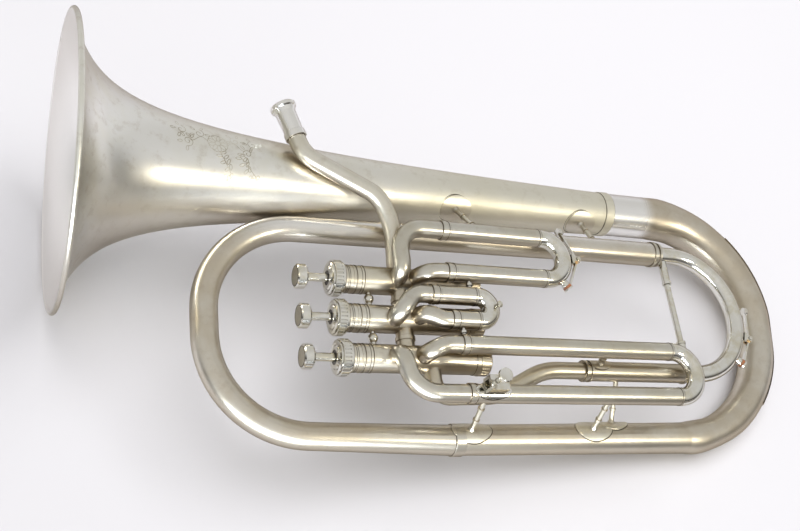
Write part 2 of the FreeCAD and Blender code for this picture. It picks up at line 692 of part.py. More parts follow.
def make_outer_leg(number, which):
    """A knuckle from the valve, the outer leg that the slide runs in, and the bands at its ends."""
    corners, bends = knuckle_route(number, which)
    leg = SLIDE_LEGS[number][which]
    start = LEG_STARTS[number][which]
    end = LEG_ENDS[number]
    name = "Slide%dLeg%d" % (number, which)
    knuckle, bore = bent_tube(corners, bends, "knuckle_radius", "tube_bore", name)
    along = Vector(1, 0, 0)
    tube = rod(Vector(start, leg, SLIDE_LAYER), along, "leg_radius", end - start, name + "Tube")
    hollow = rod(Vector(start + 1.0, leg, SLIDE_LAYER), along, "slide_bore", end - start, name + "Bore")
    way = rod(Vector(start - 1.0, leg, SLIDE_LAYER), along, "tube_bore", 4.0, name + "Way")
    rings = [
        rod(Vector(start - 1.5, leg, SLIDE_LAYER), along, "band_radius", 3.6, name + "Band"),
        rod(Vector(start + 4.4, leg, SLIDE_LAYER), along, "band_radius - 0.25", 1.2, name + "BandLine"),
        rod(Vector(end - 1.4, leg, SLIDE_LAYER), along, "leg_radius + 0.3", 1.4, name + "EndBead"),
    ]
    casing = casing_outside(number)
    whole = joined([knuckle, tube] + rings)
    label = "slide_%d_%s_leg" % (number, ("upper", "lower")[which])
    keep(cut(whole, joined([bore, hollow, way, casing]), name), label)


def make_crook(number):
    """The moving part of a valve slide: two inner legs and the bow that joins them."""
    upper, lower = SLIDE_LEGS[number]
    start = LEG_ENDS[number] + size("slide_gap")
    bend = 0.5 * (upper - lower)
    name = "Crook%d" % number
    return slide_crook(upper, lower, start, start + 2.0 + bend, INNER_LEG_STARTS[number], SLIDE_LAYER, bend, name)


def slide_crook(upper, lower, shoulder, far, inner_start, z, bend, name):
    """Two thin legs and a half-round bow between them, bored through."""
    corners = [Vector(shoulder, upper, z), Vector(far, upper, z), Vector(far, lower, z), Vector(shoulder, lower, z)]
    radius = bend - 0.01
    outside, bore = bent_tube(corners, [radius, radius], "crook_radius", "tube_bore", name)
    solids = [outside]
    hollows = [bore]
    along = Vector(1, 0, 0)
    for y in (upper, lower):
        solids.append(rod(Vector(inner_start, y, z), along, "slide_radius", shoulder - inner_start + 1.0, name))
        solids.append(rod(Vector(shoulder, y, z), along, "leg_radius + 0.15", 2.2, name + "Shoulder"))
        hollows.append(rod(Vector(inner_start - 1.0, y, z), along, "tube_bore", shoulder - inner_start + 2.0, name))
    return cut(joined(solids), joined(hollows), name)


def make_valve_slides():
    """The three valve slides, fixed legs and moving crooks."""
    for number in (1, 2, 3):
        make_outer_leg(number, 0)
        make_outer_leg(number, 1)
        keep(make_crook(number), "slide_%d_crook" % number)
    upper, lower = SLIDE_LEGS[2]
    tip = LEG_ENDS[2] + size("slide_gap") + 2.0 + (upper - lower) * 0.5
    knob = [
        (-1.2, 0.0), (-1.2, 1.5), (2.2, 1.3), (3.0, 2.6), (4.6, 2.8), (5.6, 1.8), (6.0, 0.0),
    ]
    lean = Vector(0.3, 0, 0.954)
    seat = Vector(tip - 1.0, 0.5 * (upper + lower), SLIDE_LAYER).add(Vector(lean).multiply(size("crook_radius") + 0.6))
    keep(turned(knob, seat, lean, "PullKnob"), "slide_2_knob")


# ---------------------------------------------------------------- main tuning slide

TUNING_UPPER = -55.3
TUNING_LOWER = -172.5
SLEEVE_START = 428.0
SLEEVE_END = 533.5
TUNING_FAR = 549.0


def make_tuning_sleeves():
    """The exit tube from valve 3 and the two receivers that the tuning slide runs in."""
    y = valve_y(3)
    z = VALVE_LAYER
    along = Vector(1, 0, 0)
    corners = [
        Vector(EXIT_PORT, y - 8.0, z), Vector(EXIT_PORT, -197.0, z), Vector(342.0, -195.5, z),
        Vector(388.0, TUNING_LOWER, z), Vector(SLEEVE_START, TUNING_LOWER, z),
    ]
    outside, bore = bent_tube(corners, [13.0, 60.0, 60.0], "knuckle_radius", "tube_bore", "Exit")
    keep(cut(outside, joined([bore, casing_outside(3)]), "ExitTube"), "exit_tube")

    tube = rod(Vector(SLEEVE_START, TUNING_LOWER, z), along, "sleeve_radius", SLEEVE_END - SLEEVE_START, "Sleeve")
    rings = [rod(Vector(x, TUNING_LOWER, z), along, "sleeve_radius + 0.8", 2.0, "SleeveRing")
             for x in (SLEEVE_START - 2.0, SLEEVE_START + 3.0, SLEEVE_END - 3.0)]
    bore = rod(Vector(SLEEVE_START + 1.0, TUNING_LOWER, z), along, "slide_bore", SLEEVE_END, "SleeveBore")
    way = rod(Vector(SLEEVE_START - 3.0, TUNING_LOWER, z), along, "knuckle_radius", 3.0, "SleeveSeat")
    air = rod(Vector(SLEEVE_START - 1.0, TUNING_LOWER, z), along, "tube_bore", 3.0, "SleeveWay")
    keep(cut(joined([tube] + rings), joined([bore, way, air]), "LowerSleeve"), "lower_slide_sleeve")

    inner = rod(Vector(446.0, TUNING_UPPER, z), along, "leg_radius", SLEEVE_END - 446.0, "UpperSleeve")
    seat = rod(Vector(446.0, TUNING_UPPER, z), along, "branch_radius - sheet_wall", 4.0, "UpperSeat")
    collar = rod(Vector(SLEEVE_END - 8.0, TUNING_UPPER, z), along, "branch_radius + 0.9", 3.0, "UpperCollar")
    lip = rod(Vector(SLEEVE_END - 5.0, TUNING_UPPER, z), along, "branch_radius - 0.6", 2.6, "UpperLip")
    bead = rod(Vector(SLEEVE_END - 2.4, TUNING_UPPER, z), along, "branch_radius + 0.2", 2.4, "UpperBead")
    bore = rod(Vector(440.0, TUNING_UPPER, z), along, "slide_bore", SLEEVE_END, "UpperBore")
    keep(cut(joined([inner, seat, collar, lip, bead]), bore, "UpperSleeveTube"), "upper_slide_sleeve")


def make_tuning_slide():
    """The moving tuning slide and the brace between its legs."""
    bend = 0.5 * (TUNING_UPPER - TUNING_LOWER)
    shoulder = SLEEVE_END + size("slide_gap")
    crook = slide_crook(TUNING_UPPER, TUNING_LOWER, shoulder, TUNING_FAR + bend, 455.0, VALVE_LAYER, bend, "Tuning")
    keep(crook, "tuning_slide_crook")
    x = SLEEVE_END + 5.0
    start = Vector(x, TUNING_UPPER, VALVE_LAYER)
    end = Vector(x, TUNING_LOWER, VALVE_LAYER)
    bar = rod_between(start, end, "rod_radius + 0.7", "TuningBar")
    down = Vector(0, -1, 0)
    collars = [rod(Vector(x, TUNING_UPPER - 7.2, VALVE_LAYER), down, "rod_radius + 1.6", 22.0, "TuningFoot"),
               rod(Vector(x, TUNING_UPPER - 28.0, VALVE_LAYER), down, "rod_radius + 2.1", 2.2, "TuningCollar"),
               rod(Vector(x, TUNING_LOWER + 30.2, VALVE_LAYER), down, "rod_radius + 2.1", 2.2, "TuningCollar"),
               rod(Vector(x, TUNING_LOWER + 29.2, VALVE_LAYER), down, "rod_radius + 1.6", 22.0, "TuningFoot")]
    tubes = [rod(Vector(x - 20.0, y, VALVE_LAYER), Vector(1, 0, 0), "crook_radius", 40.0, "TuningSkin")
             for y in (TUNING_UPPER, TUNING_LOWER)]
    keep(cut(joined([bar] + collars), joined(tubes), "TuningBrace"), "tuning_slide_brace")


# ---------------------------------------------------------------- water keys

def make_water_key(number, centre, bend, pivot_angle, nipple_angle, tip_angle):
    """A water key on a crook: saddle with its hinge pin, lever with cup and touch, cork and spring.

    Angles are in degrees round the crook's centre; the hinge pin runs along Z.
    """
    skin = bend + size("crook_radius")
    z = centre.z

    def out(angle, radius, lift=0.0):
        """A point at an angle and radius from the crook's centre."""
        turn = math.radians(angle)
        return Vector(centre.x + radius * math.cos(turn), centre.y + radius * math.sin(turn), z + lift)

    def heading(angle):
        """The outward direction at an angle."""
        return out(angle, 1.0).sub(centre)

    up = Vector(0, 0, 1)
    pivot_radius = skin + 5.6
    pivot = out(pivot_angle, pivot_radius)
    outward = heading(pivot_angle)
    sideways = up.cross(outward)
    nipple = rod(out(nipple_angle, skin - 0.9), heading(nipple_angle), 3.4, 4.6, "Nipple")
    nipple_way = rod(out(nipple_angle, skin - 2.0), heading(nipple_angle), 2.0, 8.0, "NippleWay")
    base = block(out(pivot_angle, skin + 0.5), outward, sideways, (2.4, 8.0, 9.6), "SaddleBase")
    ears = [block(out(pivot_angle, skin + 4.2, side * 4.0), outward, sideways, (7.6, 4.4, 1.6), "SaddleEar")
            for side in (-1.0, 1.0)]
    pin = rod(out(pivot_angle, pivot_radius, -5.6), up, "pin_radius", 11.2, "HingePin")
    pin_head = rod(out(pivot_angle, pivot_radius, 4.8), up, "pin_radius + 0.8", 1.2, "HingePinHead")
    metal = joined([base] + ears + [pin, pin_head])
    keep(group([metal, cut(nipple, nipple_way)], "WaterKeySaddle%d" % number), "water_key_%d_saddle" % number)

    cup = rod(out(nipple_angle, skin + 6.2), heading(nipple_angle), 4.4, 1.4, "Cup")
    cup_back = out(nipple_angle, skin + 6.9)
    tip = out(tip_angle, skin + 7.4)
    barrel = rod(out(pivot_angle, pivot_radius, -2.8), up, 2.2, 5.6, "Barrel")
    hole = rod(out(pivot_angle, pivot_radius, -6.0), up, "pin_radius + running_gap", 12.0, "BarrelHole")
    over = out(pivot_angle, pivot_radius + 1.2)
    arms = [bar_between(over, cup_back, 3.2, 1.6), bar_between(over, tip, 3.2, 1.6)]
    touch = rod(tip.sub(heading(tip_angle)), heading(tip_angle), 4.0, 1.8, "Touch")
    keep(cut(joined([cup, barrel, touch] + arms), hole, "WaterKeyLever%d" % number), "water_key_%d_lever" % number)
    cork = rod(out(nipple_angle, skin + 3.9), heading(nipple_angle), 3.9, 2.3, "Cork")
    keep(cork, "water_key_%d_cork" % number)

    coils = [ring(out(pivot_angle, pivot_radius, lift), 2.65, 3.35, 0.7, up, "KeySpringCoil") for lift in (-2.4, 1.7)]
    leg = rod_between(out(pivot_angle, pivot_radius - 3.0, -2.2), out(pivot_angle, pivot_radius - 3.0, 2.2), 0.35)
    keep(joined(coils + [leg], "KeySpring%d" % number), "water_key_%d_spring" % number)


def bar_between(start, end, width, thickness):
    """A flat bar from one point to another in the plane of a crook, its width along Z."""
    run = end.sub(start)
    middle = start.add(end).multiply(0.5)
    along = Vector(run).normalize()
    across = Vector(0, 0, 1).cross(along)
    return block(middle, along, across, (run.Length + 1.0, thickness, width), "Bar")


def make_water_keys():
    """A water key on the first slide and one on the tuning slide."""
    upper, lower = SLIDE_LEGS[1]
    bend = 0.5 * (upper - lower)
    first = Vector(LEG_ENDS[1] + size("slide_gap") + 2.0, 0.5 * (upper + lower), SLIDE_LAYER)
    make_water_key(1, first, bend, 0.0, -54.0, 52.0)
    bend = 0.5 * (TUNING_UPPER - TUNING_LOWER)
    main = Vector(TUNING_FAR, 0.5 * (TUNING_UPPER + TUNING_LOWER), VALVE_LAYER)
    make_water_key(2, main, bend, -19.0, -41.0, 4.0)


# ---------------------------------------------------------------- braces

def flange(foot, tube_axis, tube_radius, normal, length, width):
    """A thin oval saddle on a tube: a shell round the tube, trimmed to an oval seen along a normal."""
    along = Vector(tube_axis).normalize()
    start = foot.sub(Vector(along).multiply(length))
    cover = rod(start, along, tube_radius + size("flange_wall"), 2.0 * length, "FlangeCover")
    core = rod(start, along, tube_radius + 0.02, 2.0 * length, "FlangeCore")
    oval = doc.addObject("Part::Ellipse", "FlangeOval")
    oval.MajorRadius = 0.5 * length
    oval.MinorRadius = 0.5 * width
    outward = Vector(normal).normalize()
    oval.Placement = Placement(foot, Rotation(along, outward.cross(along), outward, "ZXY"))
    column = doc.addObject("Part::Extrusion", "FlangeColumn")
    column.Base = oval
    column.DirMode = "Custom"
    column.Dir = outward
    column.LengthFwd = tube_radius + 6.0
    column.Solid = True
    return common(cut(cover, core), column, "Flange")


def brace(start, start_radius, end, end_radius, length, width, axis=Vector(1, 0, 0)):
    """A turned rod between two tubes, with a saddle flange on the first; the points are on the tubes' axes."""
    run = end.sub(start)
    way = Vector(run).normalize()
    foot = start.add(Vector(way).multiply(start_radius))
    top = end.sub(Vector(way).multiply(end_radius - 0.3))
    span = top.sub(foot).Length
    bar = rod(foot, way, "rod_radius", span, "BraceBar")
    collars = [rod(foot.add(Vector(way).multiply(share * span - 0.8)), way, "rod_radius + 0.8", 1.6, "BraceCollar")
               for share in (0.34, 0.72)]
    swell = cone_between(foot, foot.add(Vector(way).multiply(3.0)), "rod_radius + 1.3", "rod_radius", "BraceFoot")
    plate = flange(start, axis, start_radius, run, length, width)
    return joined([bar, swell, plate] + collars, "Brace")


def make_braces():
    """Every stay that ties one tube to another."""
    slide_leg = SLIDE_LEGS[3][1]
    low = Vector(BOW_END.x, BOW_END.y, 0)
    pieces = []
    for x in (322.0, 439.0):
        share = (x - low.x) / (538.0 - low.x)
        y = low.y + share * 1.5
        radius = size("bow_small_radius") + share * (size("bow_mid_radius") - size("bow_small_radius"))
        pieces.append(brace(Vector(x, y, 0), radius, Vector(x - 2.0, slide_leg, SLIDE_LAYER), size("leg_radius"),
                            36.0, 21.0))
    keep(group(pieces, "SlideThreeBraces"), "slide_3_braces")
    keep(brace(Vector(461.0, -223.2, 0), size("bow_mid_radius") - 0.45, Vector(462.0, TUNING_LOWER, VALVE_LAYER),
               size("sleeve_radius"), 32.0, 19.0), "sleeve_bow_brace")
    keep(brace(Vector(440.0, TUNING_LOWER, VALVE_LAYER), size("sleeve_radius"),
               Vector(443.0, SLIDE_LEGS[3][0], SLIDE_LAYER), size("leg_radius"), 22.0, 12.0), "sleeve_slide_brace")
    keep(brace(Vector(334.0, 0, 0), flare_radius(334.0), Vector(338.0, SLIDE_LEGS[1][0], SLIDE_LAYER),
               size("leg_radius"), 30.0, 26.0), "bell_slide_brace")
    keep(brace(Vector(468.0, 0, 0), flare_radius(468.0), Vector(473.0, TUNING_UPPER, VALVE_LAYER),
               size("branch_radius"), 30.0, 26.0), "bell_branch_brace")
    stays = []
    for x, first, second in ((318.0, SLIDE_LEGS[1][1], SLIDE_LEGS[2][0]), (306.5, SLIDE_LEGS[2][1], SLIDE_LEGS[3][0])):
        start = Vector(x, first - size("leg_radius") + 0.25, SLIDE_LAYER)
        end = Vector(x, second + size("leg_radius") - 0.25, SLIDE_LAYER)
        bar = rod_between(start, end, 2.0, "Stay")
        middle = Vector(x, 0.5 * (start.y + end.y) + 1.0, SLIDE_LAYER)
        stays.append(joined([bar, rod(middle, Vector(0, -1, 0), 2.9, 2.0, "StayCollar")]))
    keep(group(stays, "SlideStays"), "slide_leg_stays")


# ---------------------------------------------------------------- lyre holder

def make_lyre_holder():
    """The square socket for a music lyre on the third slide, and its thumb screw."""
    leg = SLIDE_LEGS[3][1]
    x = 321.0
    middle = leg + 3.0
    top = SLIDE_LAYER + size("leg_radius")
    thick = 11.0
    side = size("lyre_hole")
    hole_middle = top + 0.8 + 0.45 * thick
    hole_top = hole_middle + 0.5 * side
    x_way = (1, 0, 0)
    y_way = (0, 1, 0)
    body = block(Vector(x, middle, top + 0.5 * thick + 0.8), x_way, y_way, (16.0, 12.4, thick + 1.0), "LyreBody")
    foot = block(Vector(x, middle, top - 0.6), x_way, y_way, (16.0, 8.0, 4.0), "LyreFoot")
    hole = block(Vector(x, middle, hole_middle), x_way, y_way, (30.0, side, side), "LyreHole")
    shank_start = Vector(x - 2.0, middle + 1.0, hole_top - 0.4)
    tapped = rod(shank_start, Vector(0, 0, 1), "screw_radius + running_gap", thick, "LyreTapped")
    saddle = flange(Vector(x, leg, SLIDE_LAYER), (1, 0, 0), size("leg_radius"), (0, 0, 1), 32.0, 13.0)
    skin = rod(Vector(x - 20.0, leg, SLIDE_LAYER), Vector(1, 0, 0), "leg_radius", 40.0, "LyreLegSkin")
    solid = joined([body, foot, saddle])
    keep(cut(solid, joined([hole, tapped, skin]), "LyreHolder"), "lyre_holder")
    screw = [
        (0.0, 0.0), (0.0, "screw_radius - 0.6"), (0.7, "screw_radius"), (13.5, "screw_radius"),
        (14.1, 2.8), (14.5, 4.8), (15.1, 5.7), (17.7, 5.7), (18.2, 5.2), (17.9, 3.0), (17.7, 0.0),
    ]
    keep(turned(screw, shank_start, Vector(0, 0, 1), "LyreScrew"), "lyre_screw")


# ---------------------------------------------------------------- the whole horn

make_bell()
make_bottom_bow()
make_first_branch()
for valve in (1, 2, 3):
    make_valve(valve)
make_caps()
make_valve_links()
make_leadpipe()
make_valve_slides()
make_tuning_sleeves()
make_tuning_slide()
make_water_keys()
make_braces()
make_lyre_holder()
doc.recompute()

for item in doc.Objects:
    if "Invalid" in item.State or "Error" in item.State:
        raise RuntimeError("%s did not build: %s" % (item.Label, item.State))


def lowest_point(shape):
    """Height of the lowest point of a shape."""
    points, _ = shape.tessellate(0.1)
    return min(point.z for point in points)


# The horn lies on Z = 0, with the origin under the middle of its outline.
floor = min(lowest_point(piece.Shape) for piece in sub_parts)
outline = FreeCAD.BoundBox()
for piece in sub_parts:
    points, _ = piece.Shape.tessellate(0.5)
    for point in points:
        outline.add(point)
shift = Vector(-0.5 * (outline.XMin + outline.XMax), -0.5 * (outline.YMin + outline.YMax), -floor)
for piece in sub_parts:
    piece.Placement = Placement(shift, Rotation()).multiply(piece.Placement)

# Pieces that are shaped to sit against others, and what each of them sits against.
SEATS = {
    "bell_ferrule": ["bell"],
    "lower_ferrule": ["bottom_bow"],
    "upper_slide_sleeve": ["first_branch"],
    "bell_slide_brace": ["bell", "slide_1_upper_leg"],
    "bell_branch_brace": ["bell", "first_branch"],
    "slide_3_braces": ["bottom_bow", "lower_ferrule", "slide_3_lower_leg"],
    "sleeve_bow_brace": ["lower_slide_sleeve", "bottom_bow", "slide_3_braces"],
    "sleeve_slide_brace": ["lower_slide_sleeve", "slide_3_upper_leg"],
    "slide_leg_stays": ["slide_1_lower_leg", "slide_2_upper_leg", "slide_2_lower_leg", "slide_3_upper_leg"],
    "tuning_slide_brace": ["tuning_slide_crook"],
    "lyre_holder": ["slide_3_lower_leg"],
    "water_key_1_saddle": ["slide_1_crook"],
    "water_key_2_saddle": ["tuning_slide_crook"],
    "water_key_1_cork": ["water_key_1_lever"],
    "water_key_2_cork": ["water_key_2_lever"],
}
SMALLEST_SOLID = 14.0

kept = {piece.Label: piece for piece in sub_parts}
for label, neighbours in SEATS.items():
    piece = kept[label]
    piece.Label = label + "_blank"
    for neighbour in neighbours:
        piece = cut(piece, kept[neighbour], "Seated")
    piece.Label = label
    kept[label] = piece
doc.recompute()


def without_crumbs(shape):
    """A shape less the slivers that trimming to a seat can leave."""
    solids = [solid for solid in shape.Solids if solid.Volume > SMALLEST_SOLID]
    return solids[0] if len(solids) == 1 else Part.makeCompound(solids)

os.makedirs("parts", exist_ok=True)
for piece in kept.values():
    shape = without_crumbs(piece.Shape)
    if shape.isNull() or not shape.isValid() or not shape.Solids:
        raise RuntimeError("%s is not a valid solid" % piece.Label)
    shape.exportStep("parts/%s.step" % piece.Label)
    print("%-24s %9.1f mm3  %d solid(s)" % (piece.Label, shape.Volume, len(shape.Solids)))
print("%d sub-parts, moved by %s" % (len(kept), shift))
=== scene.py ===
import json
import math

import bmesh
import bpy
from mathutils import Matrix, Vector
from mathutils.bvhtree import BVHTree


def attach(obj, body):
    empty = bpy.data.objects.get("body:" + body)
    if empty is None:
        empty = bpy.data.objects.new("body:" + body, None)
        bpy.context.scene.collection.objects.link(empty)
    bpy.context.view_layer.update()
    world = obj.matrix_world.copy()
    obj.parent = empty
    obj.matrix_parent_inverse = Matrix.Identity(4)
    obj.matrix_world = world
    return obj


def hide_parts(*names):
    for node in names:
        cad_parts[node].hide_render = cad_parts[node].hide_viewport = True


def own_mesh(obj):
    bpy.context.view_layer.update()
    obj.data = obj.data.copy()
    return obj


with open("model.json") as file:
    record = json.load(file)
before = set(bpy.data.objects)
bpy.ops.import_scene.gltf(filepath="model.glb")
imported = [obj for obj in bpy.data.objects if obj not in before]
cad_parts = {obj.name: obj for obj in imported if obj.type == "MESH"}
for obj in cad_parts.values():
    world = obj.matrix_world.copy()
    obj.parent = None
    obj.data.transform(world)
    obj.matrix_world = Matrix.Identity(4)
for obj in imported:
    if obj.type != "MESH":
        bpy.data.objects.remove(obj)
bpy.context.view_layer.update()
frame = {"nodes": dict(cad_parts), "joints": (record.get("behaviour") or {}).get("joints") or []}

# ---------------------------------------------------------------- the horn's own frame
#
# The horn lies tipped on the floor, so its details are placed in the horn's own frame, in millimetres:
# X along the bell axis from the mouth, Y across (the loop is on the negative side), Z towards the valves.
# The frame's joints say where that frame is.

MM = 0.001
joints = {joint["name"]: joint for joint in frame["joints"]}
ALONG = Vector(joints["valve_1_press"]["axis"]).normalized()
FRONT = Vector(joints["lyre_screw_turn"]["axis"]).normalized()
ACROSS = FRONT.cross(ALONG)
LYRE_PIVOT = Vector((319.0, -196.8, 60.0))
TURN = Matrix((ALONG, ACROSS, FRONT)).transposed()
ORIGIN = Vector(joints["lyre_screw_turn"]["pos_m"]) - TURN @ LYRE_PIVOT * MM
HORN = Matrix.Translation(ORIGIN) @ TURN.to_4x4() @ Matrix.Scale(MM, 4)

FIXED = "horn"
VALVE_LAYER = 29.0
SLIDE_LAYER = 49.0


# ---------------------------------------------------------------- node helpers

class Nodes:
    """A material's node tree, with short calls for the nodes that the metals are mixed from."""

    def __init__(self, name):
        self.material = bpy.data.materials.new(name)
        self.material.use_nodes = True
        self.tree = self.material.node_tree
        self.tree.nodes.clear()
        self.output = self.tree.nodes.new("ShaderNodeOutputMaterial")
        self.shader = self.tree.nodes.new("ShaderNodeBsdfPrincipled")
        self.link(self.shader.outputs["BSDF"], self.output.inputs["Surface"])
        self.place = self.tree.nodes.new("ShaderNodeTexCoord").outputs["Object"]

    def link(self, source, target):
        """Join two sockets."""
        self.tree.links.new(source, target)

    def horn_place(self):
        """The place on the horn, in millimetres of the horn's own frame."""
        mapping = self.tree.nodes.new("ShaderNodeMapping")
        mapping.vector_type = "POINT"
        back = HORN.inverted()
        mapping.inputs["Location"].default_value = back.translation
        mapping.inputs["Rotation"].default_value = back.to_euler()
        mapping.inputs["Scale"].default_value = (1.0 / MM, 1.0 / MM, 1.0 / MM)
        self.link(self.place, mapping.inputs["Vector"])
        split = self.tree.nodes.new("ShaderNodeSeparateXYZ")
        self.link(mapping.outputs["Vector"], split.inputs["Vector"])
        return split.outputs["X"], split.outputs["Y"], split.outputs["Z"]

    def noise(self, scale, detail=4.0, roughness=0.55, stretch=None):
        """A noise pattern, in cycles per metre, that may be stretched."""
        node = self.tree.nodes.new("ShaderNodeTexNoise")
        node.inputs["Scale"].default_value = scale
        node.inputs["Detail"].default_value = detail
        node.inputs["Roughness"].default_value = roughness
        source = self.place
        if stretch is not None:
            mapping = self.tree.nodes.new("ShaderNodeMapping")
            mapping.inputs["Scale"].default_value = stretch
            self.link(self.place, mapping.inputs["Vector"])
            source = mapping.outputs["Vector"]
        self.link(source, node.inputs["Vector"])
        return node.outputs["Fac"]

    def ramp(self, source, low, high, low_value=0.0, high_value=1.0):
        """Spread the stretch of a value between low and high over a new range."""
        node = self.tree.nodes.new("ShaderNodeMapRange")
        node.interpolation_type = "SMOOTHSTEP"
        node.inputs["From Min"].default_value = low
        node.inputs["From Max"].default_value = high
        node.inputs["To Min"].default_value = low_value
        node.inputs["To Max"].default_value = high_value
        self.link(source, node.inputs["Value"])
        return node.outputs["Result"]

    def mix(self, share, first, second):
        """Mix two colours by a share; each of the three is a value or a socket."""
        node = self.tree.nodes.new("ShaderNodeMix")
        node.data_type = "RGBA"
        self.feed(share, node.inputs[0])
        self.feed(first, node.inputs[6])
        self.feed(second, node.inputs[7])
        return node.outputs[2]

    def math(self, operation, first, second=0.0):
        """Arithmetic on two values, each a number or a socket."""
        node = self.tree.nodes.new("ShaderNodeMath")
        node.operation = operation
        self.feed(first, node.inputs[0])
        self.feed(second, node.inputs[1])
        return node.outputs[0]

    def feed(self, value, socket):
        """Give a socket a number, a colour or another socket."""
        if isinstance(value, bpy.types.NodeSocket):
            self.link(value, socket)
        elif isinstance(value, tuple) and len(value) == 3 and len(socket.default_value) == 4:
            socket.default_value = (*value, 1.0)
        else:
            socket.default_value = value

    def facing(self, direction):
        """How far the surface faces along a direction fixed to the horn: 1 along it, -1 against it."""
        node = self.tree.nodes.new("ShaderNodeVectorMath")
        node.operation = "DOT_PRODUCT"
        self.link(self.tree.nodes.new("ShaderNodeTexCoord").outputs["Normal"], node.inputs[0])
        node.inputs[1].default_value = direction
        return node.outputs["Value"]

    def crevice(self, distance):
        """How open the surface is at a point: 1 in the open, less in corners and joints."""
        node = self.tree.nodes.new("ShaderNodeAmbientOcclusion")
        node.samples = 6
        node.inputs["Distance"].default_value = distance
        return node.outputs["AO"]

    def bump(self, height, distance, strength=1.0, under=None):
        """Turn a height into a bumped normal."""
        node = self.tree.nodes.new("ShaderNodeBump")
        node.inputs["Strength"].default_value = strength
        node.inputs["Distance"].default_value = distance
        self.link(height, node.inputs["Height"])
        if under is not None:
            self.link(under, node.inputs["Normal"])
        return node.outputs["Normal"]


EDGE_TINT = (0.42, 0.38, 0.34, 1.0)
STAIN = (0.46, 0.39, 0.30)
JOINT_BLACK = (0.10, 0.075, 0.045)
CORNER_SHADE_BROWN = (0.46, 0.38, 0.26)
# Colour of the painted shade on the side of the tubes facing negative Y.
UNDERSIDE_SHADE = (0.42, 0.37, 0.30)
JOINT_REACH = 0.0035
# How far from other parts the brown painted shade spreads.
CORNER_SHADE_REACH = 0.035


def satin_silver(name, pale, warm, warm_share, roughness, low_side_shade, wear=()):
    """Silver plate with a fine blasted grain, toned unevenly towards straw and dark in the joints, with
    painted shade near other parts and on the side facing negative Y.

    Each patch of wear gives the share of it at a place, its colour and how much duller it is.
    """
    nodes = Nodes(name)
    shader = nodes.shader
    shader.inputs["Metallic"].default_value = 1.0
    shader.inputs["Specular Tint"].default_value = EDGE_TINT
    broad = nodes.noise(11.0, detail=3.0)
    blotch = nodes.noise(70.0, detail=4.0, roughness=0.55)
    fine = nodes.noise(620.0, detail=3.0)
    cloud = nodes.math("ADD", nodes.math("MULTIPLY", broad, 0.7), nodes.math("MULTIPLY", blotch, 0.3))
    tone = nodes.ramp(cloud, 0.36, 0.64, max(0.0, warm_share - 0.35), min(1.0, warm_share + 0.35))
    colour = nodes.mix(tone, pale, warm)
    stain = nodes.ramp(nodes.noise(110.0, detail=5.0, roughness=0.65), 0.50, 0.70, 0.0, 0.26)
    colour = nodes.mix(stain, colour, STAIN)
    close = nodes.ramp(nodes.crevice(JOINT_REACH), 0.35, 0.86, 0.85, 0.0)
    colour = nodes.mix(close, colour, JOINT_BLACK)
    # Painted shade: brown darkening wherever other parts of the horn come within 35 mm.
    near = nodes.ramp(nodes.crevice(CORNER_SHADE_REACH), 0.30, 0.95, 0.78, 0.0)
    colour = nodes.mix(near, colour, CORNER_SHADE_BROWN)
    # Painted shade: surfaces facing negative Y turn darker and tan, by how far they face that way.
    low = nodes.ramp(nodes.facing(ACROSS), -0.92, -0.20, low_side_shade, 0.0)
    colour = nodes.mix(low, colour, UNDERSIDE_SHADE)
    rough = nodes.math("ADD", nodes.ramp(broad, 0.3, 0.7, roughness - 0.01, roughness + 0.05),
                       nodes.math("MULTIPLY", close, 0.25))
    for patch in wear:
        share, worn, dulling = patch(nodes)
        colour = nodes.mix(share, colour, worn)
        duller = nodes.math("ADD", 1.0, nodes.math("MULTIPLY", share, dulling))
        rough = nodes.math("MULTIPLY", rough, duller)
    nodes.link(colour, shader.inputs["Base Color"])
    nodes.link(rough, shader.inputs["Roughness"])
    grain = nodes.bump(fine, 0.00002, 0.2)
    dents = nodes.bump(nodes.noise(28.0, detail=2.0), 0.0006, 0.25, under=grain)
    nodes.link(dents, shader.inputs["Normal"])
    return nodes.material


def inside_of_bell(nodes):
    """The polished inside of the bell, whose surface faces the bell's axis."""
    _, y, z = nodes.horn_place()
    outward = nodes.math("ADD", nodes.math("MULTIPLY", y, nodes.facing(ACROSS)),
                         nodes.math("MULTIPLY", z, nodes.facing(FRONT)))
    return nodes.ramp(outward, -1.5, 0.0, 1.0, 0.0), (0.95, 0.925, 0.90), 0.3


def dull_tail(nodes):
    """The narrow end of the bell, which is duller and more yellow than the flare."""
    x, _, _ = nodes.horn_place()
    return nodes.ramp(x, 170.0, 360.0, 0.0, 0.55), (0.80, 0.765, 0.62), 1.0


def rubbed_band(nodes):
    """The stretch of the bottom bow next to the bell ferrule, where it is rubbed bright."""
    x, y, _ = nodes.horn_place()
    near = nodes.ramp(x, 538.0, 556.0, 1.0, 0.0)
    upper = nodes.ramp(y, -60.0, -40.0, 0.0, 1.0)
    return nodes.math("MULTIPLY", near, upper), (0.96, 0.955, 0.94), -0.35


def polished_silver(name, pale, warm, roughness=0.13):
    """Silver plate that hands keep bright: smooth, faintly smeared, with hairline scratches."""
    nodes = Nodes(name)
    shader = nodes.shader
    shader.inputs["Metallic"].default_value = 1.0
    shader.inputs["Specular Tint"].default_value = EDGE_TINT
    smear = nodes.noise(55.0, detail=5.0, roughness=0.6)
    colour = nodes.mix(nodes.ramp(smear, 0.40, 0.66), pale, warm)
    close = nodes.ramp(nodes.crevice(0.0025), 0.30, 0.85, 0.88, 0.0)
    colour = nodes.mix(close, colour, (0.07, 0.055, 0.035))
    nodes.link(colour, shader.inputs["Base Color"])
    nodes.link(nodes.ramp(smear, 0.3, 0.72, roughness - 0.04, roughness + 0.07), shader.inputs["Roughness"])
    hair = nodes.noise(900.0, detail=2.0, stretch=(0.06, 1.0, 1.0))
    nodes.link(nodes.bump(hair, 0.00003, 0.25), shader.inputs["Normal"])
    return nodes.material


